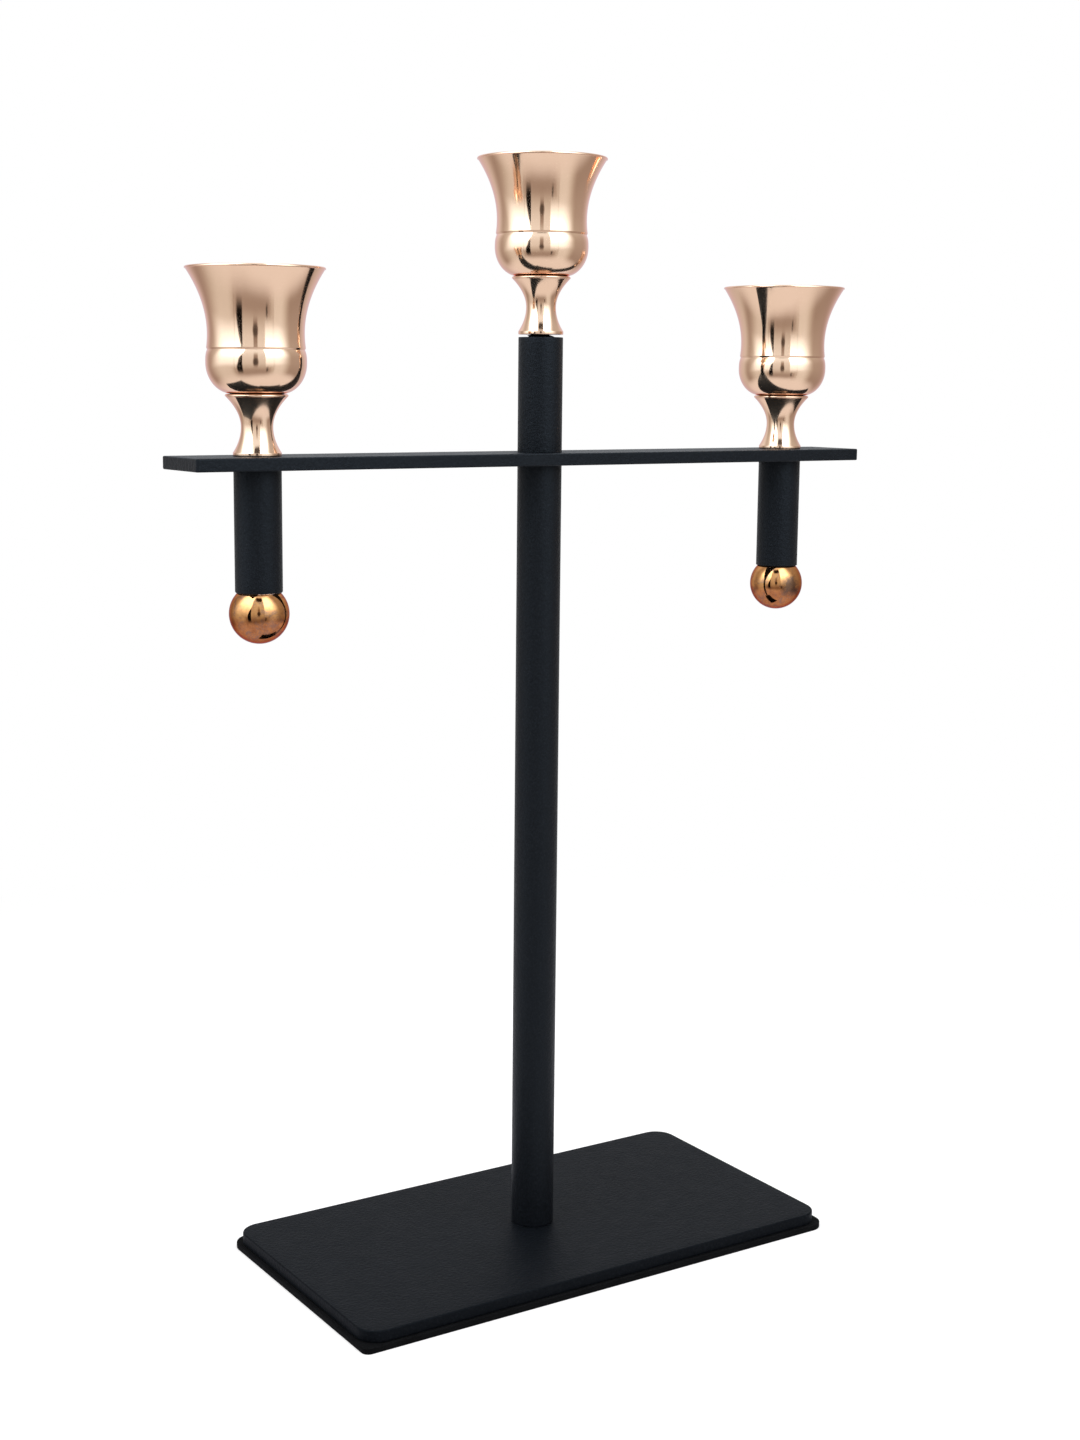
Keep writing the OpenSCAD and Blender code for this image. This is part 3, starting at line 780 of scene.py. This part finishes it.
def tent_shades(f, degrees, height, level):
    """The tent's brightness with dark shapes painted into its glow, which polished metal shows as painted
    reflections: the camera's stand and body in the gap, a black seam and a small foot at the gap's edges, two
    creases in the panels, and a hood over the camera. A band is 1 within some degrees of its middle, and the
    body is an ellipse in degrees and metres."""
    stand = f.times(f.span(f.away(degrees, CAMERA_BEARING), 5.2, 3.6), f.span(height, 1.05, 0.65))
    level = f.shaded(level, f.times(stand, f.span(height, 0.12, 0.28)), 0.40)
    body_across = f.math("DIVIDE", f.away(degrees, CAMERA_BEARING), 6.5)
    body_up = f.math("DIVIDE", f.minus(height, 0.40), 0.13)
    body = f.math("SQRT", f.plus(f.math("POWER", body_across, 2.0), f.math("POWER", body_up, 2.0)))
    level = f.shaded(level, f.span(body, 1.15, 0.75, smooth=True), 0.25)
    seam_in = f.minus(degrees, 60.6)
    narrowed = f.math("POWER", f.span(height, 0.10, 0.75), 1.4)
    seam_out = f.minus(f.minus(14.0, f.times(narrowed, 11.8)), seam_in)
    soft_edge = f.math("DIVIDE", seam_out, f.span(height, 0.28, -0.10, 0.8, 5.0))
    seam = f.times(f.span(seam_in, -0.3, 0.5), f.span(soft_edge, 0.0, 1.0), f.span(height, 0.95, 0.80))
    level = f.shaded(level, f.times(seam, f.span(height, -0.30, 0.04, smooth=True)), 0.008)
    foot = f.times(f.span(f.away(degrees, 7.5), 2.6, 1.2), f.span(f.math("ABSOLUTE", height), 0.16, 0.10))
    level = f.shaded(level, foot, 0.15)
    for middle, half in ((-8.0, 0.9), (78.0, 1.0)):
        crease = f.times(f.span(f.away(degrees, middle), half, 0.0), f.span(height, 0.9, 0.3))
        level = f.shaded(level, crease, 0.60)
    hood_half = f.span(height, 1.56, 2.05, 14.0, 21.0)
    hood = f.span(f.math("DIVIDE", f.away(degrees, 33.0), hood_half), 1.0, 0.86)
    hood = f.times(hood, f.span(height, 1.54, 1.64), f.span(height, 2.5, 2.3))
    return f.shaded(level, hood, 0.04)


def tent_cloth():
    """The light tent as polished metal sees it, a glowing sheet of painted reflections: the brightness of its
    cloth, less the dark shapes painted into it, in warm white where it is dim and cool white where it is
    bright."""
    f = Finish("light_tent")
    x, y, height = f.axes()
    degrees = bearing_of(f, x, y)
    level = tent_shades(f, degrees, height, tent_light(f, degrees, height))
    warm, plain, cool = (1.02, 0.86, 0.81, 1), (1.0, 0.97, 0.96, 1), (0.96, 1.05, 1.16, 1)
    tint = f.blend(f.span(level, 0.36, 0.62), warm, plain)
    tint = f.blend(f.span(level, 0.62, 1.15), tint, cool)
    f.material.cycles.emission_sampling = "NONE"
    return f.finished(f.glow(tint, level))


# Pieces


def finish_piece(piece, node, material):
    """Gives a made piece its finish, rides it on the stand and hides the CAD node it stands in for."""
    piece.data.materials.clear()
    piece.data.materials.append(material)
    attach(piece, "root")
    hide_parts(node)


COAT = powder_coat("black_powder_coat", 0.165)
PLATE_COAT = powder_coat("base_plate_powder_coat", 0.04)
GOLD = rose_gold()
BRASS = aged_brass()
ZINC = zinc_steel()
FOAM = foam_rubber()

for side in ("left", "centre", "right"):
    place, _ = seat(f"{side}_cup_shell")
    finish_piece(cup_shell(f"{side}_spun_cup", place), f"{side}_cup_shell", GOLD)
    place, _ = seat(f"{side}_cup_stem")
    finish_piece(cup_stem(f"{side}_turned_stem", place), f"{side}_cup_stem", GOLD)
    place, height = seat(f"{side}_cup_washer")
    finish_piece(washer(f"{side}_flat_washer", place, height), f"{side}_cup_washer", ZINC)
    place, height = seat(f"{side}_cup_screw")
    piece = cup_screw(f"{side}_button_screw", place, height - CUP_HEAD_H)
    finish_piece(piece, f"{side}_cup_screw", ZINC)
    place, height = seat(f"{side}_cup_stud")
    finish_piece(stud(f"{side}_cup_threaded_stud", place, height), f"{side}_cup_stud", ZINC)

for side in ("left", "right"):
    place, _ = seat(f"{side}_ball")
    middle = (place[0], place[1], place[2] + BALL_R)
    finish_piece(ball(f"{side}_brass_ball", middle), f"{side}_ball", BRASS)
    place, height = seat(f"{side}_ball_stud")
    finish_piece(stud(f"{side}_ball_threaded_stud", place, height), f"{side}_ball_stud", ZINC)

# Each tube with the radius of its lower edge and how far its mouth reaches down over a ball
for node, name, low_r, mouth in (
    ("column_tube", "coated_column", 0.5, 0.0),
    ("upper_tube", "coated_upper_tube", TUBE_EDGE_R, 0.0),
    ("left_arm_tube", "left_coated_arm", 0.85, 0.45),
    ("right_arm_tube", "right_coated_arm", TUBE_EDGE_R, 0.3),
):
    place, height = seat(node)
    finish_piece(coated_tube(name, place, height, low_r, mouth), node, COAT)

place, height = seat("crossbar_stud")
finish_piece(stud("crossbar_threaded_stud", place, height), "crossbar_stud", ZINC)
place, height = seat("base_screw")
finish_piece(base_screw("countersunk_screw", place, height), "base_screw", ZINC)
place, height = seat("upper_top_plug")
piece = paint_lump("painted_boss_plug", place, height - BOSS_H)
finish_piece(piece, "upper_top_plug", COAT)

piece = coated_base_plate(*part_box("base_plate"))
finish_piece(piece, "base_plate", PLATE_COAT)
piece = foam_pad(*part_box("anti_slip_pad"))
finish_piece(piece, "anti_slip_pad", FOAM)

# The solids that still show, which are the crossbar and the plugs
for node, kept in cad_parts.items():
    if not kept.hide_render:
        material = COAT if node == "crossbar" else ZINC
        for material_slot in kept.material_slots:
            material_slot.material = material


# Studio


def sheet_mesh(name, points, material):
    """An open grid of points in metres as a mesh, for the floor and the tent."""
    mesh = bpy.data.meshes.new(name)
    mesh.from_pydata(points.reshape(-1, 3), [], grid_faces(*points.shape[:2]))
    mesh.materials.append(material)
    piece = add_to_scene(name, mesh)
    return piece


def tent_wall():
    """Points of the tent: x = r cos a, y = r sin a and z = h for each ring's radius r and height h."""
    around = np.linspace(0.0, 2 * np.pi, TENT_AROUND)[None, :]
    r, h = np.array(TENT_RINGS).T[:, :, None]
    return np.stack(np.broadcast_arrays(r * np.cos(around), r * np.sin(around), h), axis=-1)


across = np.linspace(-FLOOR_HALF, FLOOR_HALF, FLOOR_POINTS)
floor_points = np.dstack([*np.meshgrid(across, across), np.zeros((FLOOR_POINTS, FLOOR_POINTS))])
sheet_mesh("studio_floor", floor_points, pale_floor())
# The tent glows for polished metal only: a painted reflection, no lamp, that lights nothing
tent = sheet_mesh("light_tent", tent_wall(), tent_cloth())
tent.visible_camera = False
tent.visible_diffuse = False
tent.visible_shadow = False
tent.visible_transmission = False
tent.visible_volume_scatter = False

# The world is white to the camera, in mirrors and through glass, and a dimmer light on all else
world = bpy.data.worlds.new("studio")
bpy.context.scene.world = world
world.use_nodes = True
sky = Nodes(world.node_tree)
rays = sky.add("ShaderNodeLightPath").outputs
seen = sky.larger(sky.larger(rays["Is Camera Ray"], rays["Is Glossy Ray"]), rays["Is Transmission Ray"])
strength = sky.span(seen, 0.0, 1.0, SKY_LIGHT, 1.0)
backdrop = sky.add("ShaderNodeBackground", {"Color": (1, 1, 1, 1), "Strength": strength})
sky.add("ShaderNodeOutputWorld", {"Surface": backdrop.outputs[0]})


def soft_box(name, where, side, watts):
    """A large square soft lamp that faces the middle of the holder and isn't seen itself."""
    data = bpy.data.lights.new(name, "AREA")
    data.shape = "RECTANGLE"
    data.size = data.size_y = side
    data.energy = watts
    lamp = add_to_scene(name, data)
    lamp.location = where
    lamp.rotation_euler = (Vector((0.0, 0.0, 0.2)) - lamp.location).to_track_quat("-Z", "Y").to_euler()
    lamp.visible_camera = False
    lamp.visible_glossy = False


soft_box("left_lamp", (-1.5, -0.5, 1.3), 1.2, 12.0)
soft_box("right_lamp", (0.7, -1.6, 1.3), 1.2, 12.0)
soft_box("top_lamp", (0.1, 0.2, 2.1), 1.8, 16.0)

# The photograph's viewpoint: its place in millimetres, bearing, pitch and roll in radians, focal length in
# millimetres for a frame whose longer side is 36 mm, and the frame's shift as a share of that side
CAMERA_PLACE = (-510.605, -779.332, 406.467)
VIEW_BEARING = -0.57011
VIEW_PITCH = 0.15891
VIEW_ROLL = 0.00828
FRAME_SIDE = 36.0
FOCAL_LENGTH = 51.2288
FRAME_SHIFT = (0.015915, -0.009531)


def view_turn():
    """How the camera is turned: it looks ahead by its bearing and pitch, right is level and square to
    ahead, up is square to both, and right and up are then rolled round ahead."""
    ahead = np.array([
        -math.sin(VIEW_BEARING) * math.cos(VIEW_PITCH),
        math.cos(VIEW_BEARING) * math.cos(VIEW_PITCH),
        -math.sin(VIEW_PITCH),
    ])
    right = np.cross(ahead, [0, 0, 1])
    right /= np.linalg.norm(right)
    up = np.cross(right, ahead)
    rolled_right = math.cos(VIEW_ROLL) * right + math.sin(VIEW_ROLL) * up
    rolled_up = -math.sin(VIEW_ROLL) * right + math.cos(VIEW_ROLL) * up
    return Matrix(np.stack([rolled_right, rolled_up, -ahead], axis=1).tolist()).to_4x4()


lens = bpy.data.cameras.new("studio_camera")
lens.sensor_width = FRAME_SIDE
lens.lens = FOCAL_LENGTH
lens.shift_x, lens.shift_y = FRAME_SHIFT
lens.clip_start = 0.05
camera = add_to_scene("studio_camera", lens)
camera.matrix_world = Matrix.Translation([value * MM for value in CAMERA_PLACE]) @ view_turn()
bpy.context.scene.camera = camera
bpy.context.scene.view_settings.view_transform = "Standard"

bpy.context.view_layer.update()
